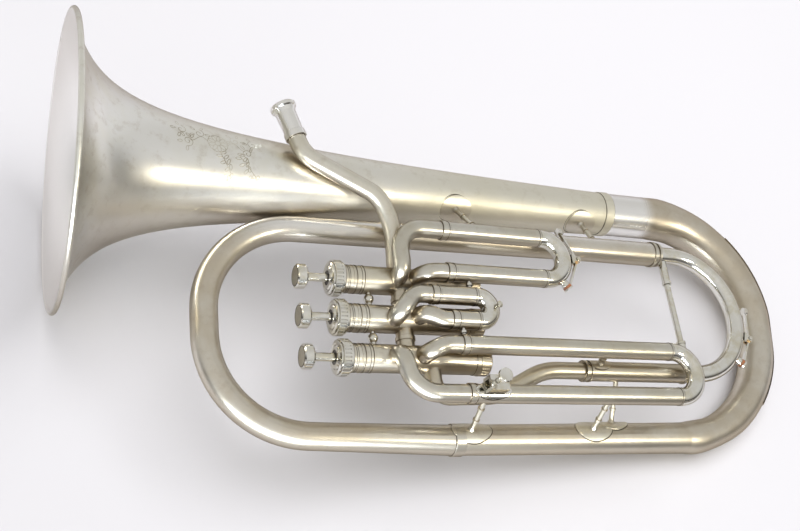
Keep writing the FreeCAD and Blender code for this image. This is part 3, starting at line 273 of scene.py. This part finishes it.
def cork_material():
    """Pressed cork, brown-orange and crumbly."""
    nodes = Nodes("cork")
    grain = nodes.noise(900.0, detail=5.0, roughness=0.7)
    colour = nodes.mix(nodes.ramp(grain, 0.38, 0.62), (0.20, 0.065, 0.022), (0.46, 0.19, 0.08))
    nodes.link(colour, nodes.shader.inputs["Base Color"])
    nodes.shader.inputs["Roughness"].default_value = 0.85
    nodes.link(nodes.bump(grain, 0.0003, 0.8), nodes.shader.inputs["Normal"])
    return nodes.material


def felt_material():
    """Worn dark felt."""
    nodes = Nodes("felt")
    fibre = nodes.noise(2600.0, detail=4.0, roughness=0.8)
    colour = nodes.mix(fibre, (0.02, 0.015, 0.012), (0.10, 0.08, 0.065))
    nodes.link(colour, nodes.shader.inputs["Base Color"])
    nodes.shader.inputs["Roughness"].default_value = 0.95
    nodes.shader.inputs["Sheen Weight"].default_value = 0.3
    nodes.link(nodes.bump(fibre, 0.0003, 0.6), nodes.shader.inputs["Normal"])
    return nodes.material


def bronze_wire():
    """Drawn phosphor bronze."""
    nodes = Nodes("bronze_wire")
    nodes.shader.inputs["Metallic"].default_value = 1.0
    tone = nodes.noise(150.0, detail=4.0)
    nodes.link(nodes.mix(tone, (0.46, 0.27, 0.12), (0.72, 0.52, 0.30)), nodes.shader.inputs["Base Color"])
    nodes.link(nodes.ramp(tone, 0.3, 0.7, 0.22, 0.40), nodes.shader.inputs["Roughness"])
    return nodes.material


def tarnish_material():
    """The black line of tarnish and old polish that collects along a soldered joint."""
    nodes = Nodes("joint_tarnish")
    tone = nodes.noise(420.0, detail=4.0)
    colour = nodes.mix(tone, (0.030, 0.024, 0.018), (0.13, 0.105, 0.075))
    nodes.link(colour, nodes.shader.inputs["Base Color"])
    nodes.shader.inputs["Metallic"].default_value = 0.6
    nodes.link(nodes.ramp(tone, 0.3, 0.7, 0.45, 0.65), nodes.shader.inputs["Roughness"])
    return nodes.material


BELL_METAL = satin_silver(
    "bell_silver", pale=(0.93, 0.925, 0.90), warm=(0.86, 0.845, 0.75), warm_share=0.40,
    roughness=0.31, low_side_shade=0.70, wear=(inside_of_bell, dull_tail),
)
TUBE_METAL = satin_silver(
    "tube_silver", pale=(0.82, 0.80, 0.735), warm=(0.71, 0.665, 0.53), warm_share=0.5,
    roughness=0.29, low_side_shade=0.8,
)
BOW_METAL = satin_silver(
    "bow_silver", pale=(0.73, 0.70, 0.63), warm=(0.585, 0.515, 0.40), warm_share=0.5,
    roughness=0.30, low_side_shade=0.75, wear=(rubbed_band,),
)
LEG_METAL = satin_silver(
    "leg_silver", pale=(0.69, 0.675, 0.62), warm=(0.58, 0.54, 0.43), warm_share=0.45,
    roughness=0.285, low_side_shade=0.85,
)
STAY_METAL = satin_silver(
    "stay_silver", pale=(0.83, 0.81, 0.73), warm=(0.74, 0.70, 0.57), warm_share=0.5,
    roughness=0.34, low_side_shade=0.45,
)
BRIGHT_METAL = polished_silver("bright_silver", (0.84, 0.83, 0.78), (0.74, 0.705, 0.59))
RECEIVER_METAL = polished_silver("receiver_silver", (0.95, 0.945, 0.92), (0.92, 0.90, 0.84), roughness=0.16)
# The button discs' dull tan is partly painted reflection of the shaded floor under the bell.
INLAY_PAINTED_REFLECTION = polished_silver("inlay_painted_reflection_silver", (0.56, 0.53, 0.44), (0.46, 0.42, 0.33), roughness=0.34)
ENGRAVED = polished_silver("engraved_silver", (0.78, 0.75, 0.66), (0.42, 0.37, 0.28), roughness=0.36)
CORK = cork_material()
FELT = felt_material()
WIRE = bronze_wire()
TARNISH = tarnish_material()


SATIN_TUBES = ("leadpipe", "exit_tube", "inter_valve_tubes", "bottom_caps")


def metal_for(node):
    """The finish that a CAD node has."""
    if node in ("bell", "bell_ferrule"):
        return BELL_METAL
    if node in ("bottom_bow", "bow_guard", "first_branch"):
        return BOW_METAL
    if node.startswith("valve_casing") or node in SATIN_TUBES:
        return TUBE_METAL
    if node == "tuning_slide_brace":
        return BRIGHT_METAL
    if node.endswith("_brace") or node == "slide_3_braces":
        return STAY_METAL
    if node.endswith(("_leg", "_sleeve", "ferrule")):
        return LEG_METAL
    if node == "mouthpiece_receiver":
        return RECEIVER_METAL
    if node.endswith("_cork"):
        return CORK
    if node == "cap_felts":
        return FELT
    if "spring" in node or node == "bell_rim_wire":
        return WIRE
    return BRIGHT_METAL


for node_name, item in frame["nodes"].items():
    item.data.materials.clear()
    item.data.materials.append(metal_for(node_name))


# ---------------------------------------------------------------- fine detail, in the horn's own frame

def add_piece(name, mesh, metal, body):
    """Put a mesh, made in the horn's own frame, into the scene and let it ride on a body."""
    mesh.transform(HORN)
    mesh.materials.append(metal)
    for face in mesh.polygons:
        face.use_smooth = True
    piece = bpy.data.objects.new(name, mesh)
    bpy.context.scene.collection.objects.link(piece)
    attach(piece, body)
    return piece


def tube_along(bm, points, radius, closed=False, sides=8):
    """Add a thin tube along points to a mesh being built."""
    count = len(points)
    rings = []
    side = None
    for index, point in enumerate(points):
        if closed:
            heading = points[(index + 1) % count] - points[index - 1]
        else:
            heading = points[min(index + 1, count - 1)] - points[max(index - 1, 0)]
        heading.normalize()
        if side is None:
            side = heading.orthogonal()
        side = (side - heading * side.dot(heading)).normalized()
        other = heading.cross(side)
        ring = []
        for step in range(sides):
            angle = 2.0 * math.pi * step / sides
            ring.append(bm.verts.new(point + (side * math.cos(angle) + other * math.sin(angle)) * radius))
        rings.append(ring)
    pairs = list(zip(rings, rings[1:]))
    if closed:
        pairs.append((rings[-1], rings[0]))
    for first, second in pairs:
        offset = closest_turn(first, second, sides) if first is rings[-1] else 0
        for step in range(sides):
            after = (step + 1) % sides
            across = (second[(after + offset) % sides], second[(step + offset) % sides])
            bm.faces.new((first[step], first[after], *across))
    if not closed:
        bm.faces.new(reversed(rings[0]))
        bm.faces.new(rings[-1])


def closest_turn(first, second, sides):
    """How far the second ring is turned against the first, in corners."""
    gaps = [(first[0].co - second[step].co).length for step in range(sides)]
    return gaps.index(min(gaps))


def circle_points(centre, axis, radius, count=72):
    """Points round a circle."""
    axis = Vector(axis).normalized()
    side = axis.orthogonal().normalized()
    other = axis.cross(side)
    centre = Vector(centre)
    points = []
    for step in range(count):
        angle = 2.0 * math.pi * step / count
        points.append(centre + (side * math.cos(angle) + other * math.sin(angle)) * radius)
    return points


def oval_points(foot, normal, radius, length, width, count=64):
    """Points round the edge of an oval saddle on a tube that runs along X."""
    along = Vector((1.0, 0.0, 0.0))
    outward = Vector(normal)
    outward -= along * outward.dot(along)
    outward.normalize()
    across = outward.cross(along)
    points = []
    for step in range(count):
        angle = 2.0 * math.pi * step / count
        run = 0.5 * length * math.cos(angle)
        aside = 0.5 * width * math.sin(angle)
        lift = math.sqrt(max(radius * radius - aside * aside, 0.0))
        points.append(Vector(foot) + along * run + across * aside + outward * lift)
    return points


# Where the details sit, in millimetres: bands and ends along X, the valves and slide legs across it.
VALVES = {1: -99.5, 2: -133.0, 3: -166.5}
BUTTON_FACE = 175.5
INLAY_RADIUS = 7.9
SLIDE_LEGS = {1: (-59.0, -97.3), 2: (-117.8, -139.0), 3: (-160.0, -200.8)}
LEG_STARTS = {1: (300.0, 300.0), 2: (283.0, 298.0), 3: (304.0, 304.0)}
LEG_ENDS = {1: 392.6, 2: 321.6, 3: 506.0}
LEG_RADIUS = 7.7
TUNING_UPPER = -55.3
TUNING_LOWER = -172.5
BRANCH_ACROSS = -224.2
BELL_FERRULE_ENDS = (496.4, 505.6)
BELL_FERRULE_RADIUS = 20.45
LOWER_FERRULE_ENDS = (306.4, 315.6)
LOWER_FERRULE_RADIUS = 12.55
LEG_BANDS = (2.2, 4.3, 5.7)
KNUCKLE_RADIUS = 7.4
LOWER_SLEEVE_BANDS = (425.9, 428.1, 430.9, 433.1, 530.4, 532.6)
LOWER_SLEEVE_RADIUS = 8.65
UPPER_SLEEVE_BANDS = (525.4, 528.6, 531.1)
UPPER_SLEEVE_RADIUS = 11.0
CASING_BANDS = (214.5, 216.8, 218.2, 222.6, 224.0, 228.4, 230.6, 320.9, 322.1)
CASING_RADIUS = 11.45
RECEIVER_MOUTH = (172.0, 49.5, 42.0)
RECEIVER_BANDS = ((26.5, 8.1), (31.7, 7.6))
LYRE_SADDLE = ((321.0, -200.8, 49.0), 32.4, 13.4)
# A stay's oval saddle: its middle on the tube's axis, the stay's other end, the tube's radius (None on
# the bell, where it is measured), and the saddle's length and width.
STAY_SADDLES = (
    ((334.0, 0.0, 0.0), (338.0, -59.0, 49.0), None, 30.0, 26.0),
    ((468.0, 0.0, 0.0), (473.0, -55.3, 29.0), None, 30.0, 26.0),
    ((322.0, -224.1, 0.0), (320.0, -200.8, 49.0), 12.6, 36.0, 21.0),
    ((439.0, -223.4, 0.0), (437.0, -200.8, 49.0), 13.3, 36.0, 21.0),
    ((461.0, -223.2, 0.0), (462.0, -172.5, 29.0), 13.5, 32.0, 19.0),
    ((440.0, -172.5, 29.0), (443.0, -160.0, 49.0), 8.7, 22.0, 12.0),
)
BEYOND_BELL = 160.0


def bell_surface(x, angle):
    """A point on the outside of the bell and its normal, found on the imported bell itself."""
    out = Vector((0.0, math.cos(angle), math.sin(angle)))
    start = Vector((x, 0.0, 0.0)) + out * BEYOND_BELL
    point, normal, _, _ = BELL_TREE.ray_cast(start, -out)
    return point, normal


def bell_tree():
    """A search tree of the bell's surface in the horn's own frame."""
    bell = frame["nodes"]["bell"].data
    back = HORN.inverted()
    corners = [back @ vertex.co for vertex in bell.vertices]
    return BVHTree.FromPolygons(corners, [tuple(face.vertices) for face in bell.polygons])


BELL_TREE = bell_tree()


def make_joint_lines():
    """The dark hairlines where bands, ferrules and saddles meet the tube below them."""
    axis = (1.0, 0.0, 0.0)
    bm = bmesh.new()

    def line(x, y, z, radius, thick=0.22):
        tube_along(bm, circle_points((x, y, z), axis, radius), thick, closed=True)

    for x in BELL_FERRULE_ENDS:
        line(x, 0.0, 0.0, BELL_FERRULE_RADIUS, 0.4)
    for x in LOWER_FERRULE_ENDS:
        line(x, BRANCH_ACROSS, 0.0, LOWER_FERRULE_RADIUS, 0.3)
    for number, legs in SLIDE_LEGS.items():
        for y, start in zip(legs, LEG_STARTS[number]):
            line(start - 1.6, y, SLIDE_LAYER, KNUCKLE_RADIUS, 0.3)
            for band in LEG_BANDS:
                line(start + band, y, SLIDE_LAYER, LEG_RADIUS)
            line(LEG_ENDS[number] - 1.5, y, SLIDE_LAYER, LEG_RADIUS)
            line(LEG_ENDS[number] + 0.1, y, SLIDE_LAYER, LEG_RADIUS - 0.1, 0.2)
    for x in LOWER_SLEEVE_BANDS:
        line(x, TUNING_LOWER, VALVE_LAYER, LOWER_SLEEVE_RADIUS)
    for x in UPPER_SLEEVE_BANDS:
        line(x, TUNING_UPPER, VALVE_LAYER, UPPER_SLEEVE_RADIUS, 0.28)
    for y in VALVES.values():
        for x in CASING_BANDS:
            line(x, y, VALVE_LAYER, CASING_RADIUS, 0.2)
    for foot, head, radius, length, width in STAY_SADDLES:
        toward = Vector(head) - Vector(foot)
        if radius is None:
            radius = bell_surface(foot[0], math.atan2(toward.z, toward.y))[0].yz.length
        edge = oval_points(foot, toward, radius + 0.15, length + 0.4, width + 0.4)
        tube_along(bm, edge, 0.3, closed=True)
    foot, length, width = LYRE_SADDLE
    edge = oval_points(foot, (0, 0, 1), LEG_RADIUS + 0.1, length, width)
    tube_along(bm, edge, 0.25, closed=True)
    receiver_way = Vector((10.0, -30.0, 0.0)).normalized()
    for distance, radius in RECEIVER_BANDS:
        centre = Vector(RECEIVER_MOUTH) + receiver_way * distance
        tube_along(bm, circle_points(centre, receiver_way, radius), 0.25, closed=True)
    mesh = bpy.data.meshes.new("joint_lines")
    bm.to_mesh(mesh)
    bm.free()
    add_piece("joint_lines", mesh, TARNISH, FIXED)


def make_button_inlays():
    """The dull disc set into the end of each finger button, with the dark line round it; the disc's dull
    tan is partly its own tone and partly painted reflection of the shaded floor under the bell.
    """
    axis = (1.0, 0.0, 0.0)
    for number, y in VALVES.items():
        bm = bmesh.new()
        face = (BUTTON_FACE, y, VALVE_LAYER)
        bm.faces.new([bm.verts.new(point) for point in circle_points(face, (-1.0, 0.0, 0.0), INLAY_RADIUS)])
        mesh = bpy.data.meshes.new("button_inlay_%d" % number)
        bm.to_mesh(mesh)
        bm.free()
        body = "piston_%d_set" % number
        add_piece("button_inlay_%d" % number, mesh, INLAY_PAINTED_REFLECTION, body)
        line = bmesh.new()
        tube_along(line, circle_points(face, axis, INLAY_RADIUS + 0.1), 0.2, closed=True)
        mesh = bpy.data.meshes.new("button_line_%d" % number)
        line.to_mesh(mesh)
        line.free()
        add_piece("button_line_%d" % number, mesh, TARNISH, body)


# ---------------------------------------------------------------- engraving

def spiral(centre, start, turns, first, last, count=40):
    """Points of a spiral about a centre, from one radius to another; negative turns wind clockwise."""
    points = []
    for step in range(count + 1):
        share = step / count
        angle = start + 2.0 * math.pi * turns * share
        radius = first + (last - first) * share
        points.append((centre[0] + radius * math.cos(angle), centre[1] + radius * math.sin(angle)))
    return points


def petal(centre, angle, length, width, count=14):
    """Points round a leaf that starts at a point and lies at an angle."""
    points = []
    for step in range(count):
        turn = 2.0 * math.pi * step / count
        along = length * 0.5 * (1.0 - math.cos(turn))
        aside = width * 0.5 * math.sin(turn)
        points.append((centre[0] + along * math.cos(angle) - aside * math.sin(angle),
                       centre[1] + along * math.sin(angle) + aside * math.cos(angle)))
    return points + points[:1]


def ornament():
    """Strokes of a plain floral scroll: a rosette, curling stems to both sides and a spray below."""
    strokes = []
    for radius in (2.2, 8.4):
        strokes.append(spiral((0, 0), 0.0, 1.0, radius, radius))
    for step in range(9):
        angle = 2.0 * math.pi * step / 9
        foot = (2.4 * math.cos(angle), 2.4 * math.sin(angle))
        strokes.append(petal(foot, angle, 5.6, 3.0))
    for side in (-1.0, 1.0):
        strokes.append([(side * (8.6 + 1.2 * step), 3.0 * math.sin(step * 0.42)) for step in range(13)])
        for curl, (x, s, turn) in enumerate(((15.0, 6.4, 0.9), (25.0, -4.6, -1.0), (30.0, 6.0, 0.8))):
            strokes.append(spiral((side * x, s), math.pi * (0.5 + curl), side * turn * 1.4, 4.6, 0.8))
            for leaf in range(4):
                angle = 1.2 * leaf + curl
                foot = (side * x + 4.8 * math.cos(angle), s + 4.8 * math.sin(angle))
                strokes.append(petal(foot, angle, 4.2, 2.0))
    strokes.append([(2.0 + 1.1 * step, -9.0 - 1.9 * step) for step in range(9)])
    strokes.append([(18.0 + 1.7 * step, -8.0 - 1.9 * step) for step in range(9)])
    for step in range(8):
        for x, s in ((2.0, -9.0), (18.0, -8.0)):
            foot = (x + 1.4 * step, s - 2.1 * step)
            strokes.append(petal(foot, 0.4 + 2.6 * (step % 2) + 0.2 * step, 5.0, 2.2))
    for x, s in ((8.0, -30.0), (32.0, -26.0)):
        for step in range(6):
            strokes.append(petal((x, s), 2.0 * math.pi * step / 6, 4.8, 2.6))
    return strokes


ORNAMENT_PLACE = (116.0, math.radians(80.0))
STROKE_HALF_WIDTH = 0.26
STROKE_HEIGHT = 0.14


def make_engraving():
    """Lay the ornament's strokes on the bell as thin ridged ribbons that follow its surface."""
    bm = bmesh.new()
    middle_x, middle_angle = ORNAMENT_PLACE
    for stroke in ornament():
        rows = []
        count = len(stroke)
        for index, (run, rise) in enumerate(stroke):
            x = middle_x + run
            before = Vector(stroke[max(index - 1, 0)])
            after = Vector(stroke[min(index + 1, count - 1)])
            heading = (after - before).normalized()
            row = []
            for aside, lift in ((-STROKE_HALF_WIDTH, 0.0), (0.0, STROKE_HEIGHT), (STROKE_HALF_WIDTH, 0.0)):
                across = Vector((-heading.y, heading.x)) * aside
                reach = bell_surface(x, middle_angle)[0].yz.length
                point, normal = bell_surface(x + across.x, middle_angle - (rise + across.y) / reach)
                row.append(bm.verts.new(point + normal * lift))
            rows.append(row)
        for first, second in zip(rows, rows[1:]):
            for step in range(2):
                bm.faces.new((first[step], first[step + 1], second[step + 1], second[step]))
    mesh = bpy.data.meshes.new("bell_engraving")
    bm.to_mesh(mesh)
    bm.free()
    add_piece("bell_engraving", mesh, ENGRAVED, FIXED)


def make_valve_springs():
    """A copy of each piston's spring, fixed to the horn in place of the packed spring."""
    for number in VALVES:
        packed = frame["nodes"]["spring_%d" % number]
        coil = packed.copy()
        coil.data = packed.data.copy()
        coil.name = "valve_spring_%d" % number
        bpy.context.scene.collection.objects.link(coil)
        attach(coil, FIXED)
        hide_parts("spring_%d" % number)
        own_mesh(coil)


make_joint_lines()
make_button_inlays()
make_engraving()
make_valve_springs()


# ---------------------------------------------------------------- floor, light, camera

def area_light(name, place, aim, width, height, power, colour, seen_in_metal=True, on_floor=True):
    """A soft box at a place, facing a point."""
    data = bpy.data.lights.new(name, "AREA")
    data.shape = "RECTANGLE"
    data.size = width
    data.size_y = height
    data.energy = power
    data.color = colour
    lamp = bpy.data.objects.new(name, data)
    lamp.location = place
    lamp.rotation_euler = (Vector(aim) - Vector(place)).to_track_quat("-Z", "Y").to_euler()
    lamp.visible_glossy = seen_in_metal
    lamp.visible_diffuse = on_floor
    bpy.context.scene.collection.objects.link(lamp)


def make_floor():
    """A wide pale floor, with the faintest unevenness of tone."""
    mesh = bpy.data.meshes.new("floor")
    half = 6.0
    corners = [(-half, -half, 0), (half, -half, 0), (half, half, 0), (-half, half, 0)]
    mesh.from_pydata(corners, [], [(0, 1, 2, 3)])
    floor = bpy.data.objects.new("floor", mesh)
    bpy.context.scene.collection.objects.link(floor)
    nodes = Nodes("floor_white")
    cloud = nodes.noise(1.3, detail=2.0)
    colour = nodes.mix(cloud, (0.70, 0.693, 0.722), (0.73, 0.724, 0.75))
    nodes.link(colour, nodes.shader.inputs["Base Color"])
    nodes.shader.inputs["Roughness"].default_value = 0.75
    nodes.shader.inputs["Specular IOR Level"].default_value = 0.2
    mesh.materials.append(nodes.material)


def make_card(name, nearest, farthest, wide, shade):
    """A dark cloth on the floor in front of the horn, seen only as a reflection in the metal."""
    mesh = bpy.data.meshes.new(name)
    half = 0.5 * wide
    corners = [(-half, -farthest, 0), (half, -farthest, 0), (half, -nearest, 0), (-half, -nearest, 0)]
    mesh.from_pydata(corners, [], [(0, 1, 2, 3)])
    nodes = Nodes(name)
    nodes.shader.inputs["Base Color"].default_value = (*shade, 1.0)
    nodes.shader.inputs["Roughness"].default_value = 1.0
    mesh.materials.append(nodes.material)
    card = bpy.data.objects.new(name, mesh)
    card.location = (0.0, 0.0, 0.003)
    for ray in ("visible_camera", "visible_diffuse", "visible_shadow", "visible_transmission"):
        setattr(card, ray, False)
    bpy.context.scene.collection.objects.link(card)


def make_world():
    """A plain room: dim in front at the horizon, brighter above, with a pale backdrop behind the horn."""
    world = bpy.data.worlds.new("room")
    bpy.context.scene.world = world
    world.use_nodes = True
    tree = world.node_tree
    background = tree.nodes["Background"]
    place = tree.nodes.new("ShaderNodeTexCoord")
    split = tree.nodes.new("ShaderNodeSeparateXYZ")
    tree.links.new(place.outputs["Generated"], split.inputs["Vector"])
    ramp = tree.nodes.new("ShaderNodeValToRGB")
    tree.links.new(split.outputs["Z"], ramp.inputs["Fac"])
    ramp.color_ramp.elements[0].position = 0.10
    ramp.color_ramp.elements[0].color = (0.05, 0.043, 0.036, 1.0)
    ramp.color_ramp.elements[1].position = 1.0
    ramp.color_ramp.elements[1].color = (0.72, 0.71, 0.69, 1.0)
    step = ramp.color_ramp.elements.new(0.46)
    step.color = (0.58, 0.575, 0.565, 1.0)
    behind = tree.nodes.new("ShaderNodeMapRange")
    behind.inputs["From Min"].default_value = -0.15
    behind.inputs["From Max"].default_value = 0.35
    tree.links.new(split.outputs["Y"], behind.inputs["Value"])
    backdrop = tree.nodes.new("ShaderNodeMix")
    backdrop.data_type = "RGBA"
    tree.links.new(behind.outputs["Result"], backdrop.inputs[0])
    tree.links.new(ramp.outputs["Color"], backdrop.inputs[6])
    wall = tree.nodes.new("ShaderNodeValToRGB")
    tree.links.new(split.outputs["Z"], wall.inputs["Fac"])
    wall.color_ramp.elements[0].position = 0.05
    wall.color_ramp.elements[0].color = (0.84, 0.84, 0.85, 1.0)
    wall.color_ramp.elements[1].position = 0.40
    wall.color_ramp.elements[1].color = (0.60, 0.59, 0.57, 1.0)
    tree.links.new(wall.outputs["Color"], backdrop.inputs[7])
    tree.links.new(backdrop.outputs[2], background.inputs["Color"])
    background.inputs["Strength"].default_value = 1.0


CAMERA_PLACE = Vector((-0.3269, -0.4901, 0.7875))
CAMERA_TURN = (35.268, -14.707, -10.459)
LENS = 47.25
SENSOR = 36.0


def make_camera():
    """The camera stands over the horn's low side, above the valves, and is turned about its own axis."""
    data = bpy.data.cameras.new("camera")
    data.lens = LENS
    data.sensor_width = SENSOR
    camera = bpy.data.objects.new("camera", data)
    camera.location = CAMERA_PLACE
    camera.rotation_euler = [math.radians(angle) for angle in CAMERA_TURN]
    bpy.context.scene.collection.objects.link(camera)
    bpy.context.scene.camera = camera
    return camera


make_floor()
make_world()
camera = make_camera()
bpy.context.view_layer.update()
VIEW = camera.matrix_world.to_3x3()
HORN_MIDDLE = Vector((0.0, 0.0, 0.08))
FLOOR_MIDDLE = Vector((0.0, 0.0, 0.0))


def from_camera(right, up, distance):
    """A place at a distance from the horn, in degrees to the right of the camera and above it."""
    direction = VIEW @ Vector((math.tan(math.radians(right)), math.tan(math.radians(up)), 1.0))
    return HORN_MIDDLE + direction.normalized() * distance


area_light("window", from_camera(-6.0, -43.0, 1.7), HORN_MIDDLE, width=1.7, height=0.22,
           power=84.0, colour=(0.86, 0.93, 1.0), on_floor=False)
area_light("lamp", from_camera(52.0, -18.0, 1.6), HORN_MIDDLE, width=0.22, height=0.22,
           power=6.0, colour=(1.0, 0.93, 0.74), on_floor=False)
area_light("ceiling", (0.45, 0.25, 2.4), FLOOR_MIDDLE, width=2.6, height=2.6,
           power=61.0, colour=(0.99, 0.985, 1.0), seen_in_metal=False)
make_card("dark_cloth", nearest=0.30, farthest=1.5, wide=3.0, shade=(0.13, 0.105, 0.082))

view = bpy.context.scene.view_settings
view.view_transform = "Standard"
view.look = "None"
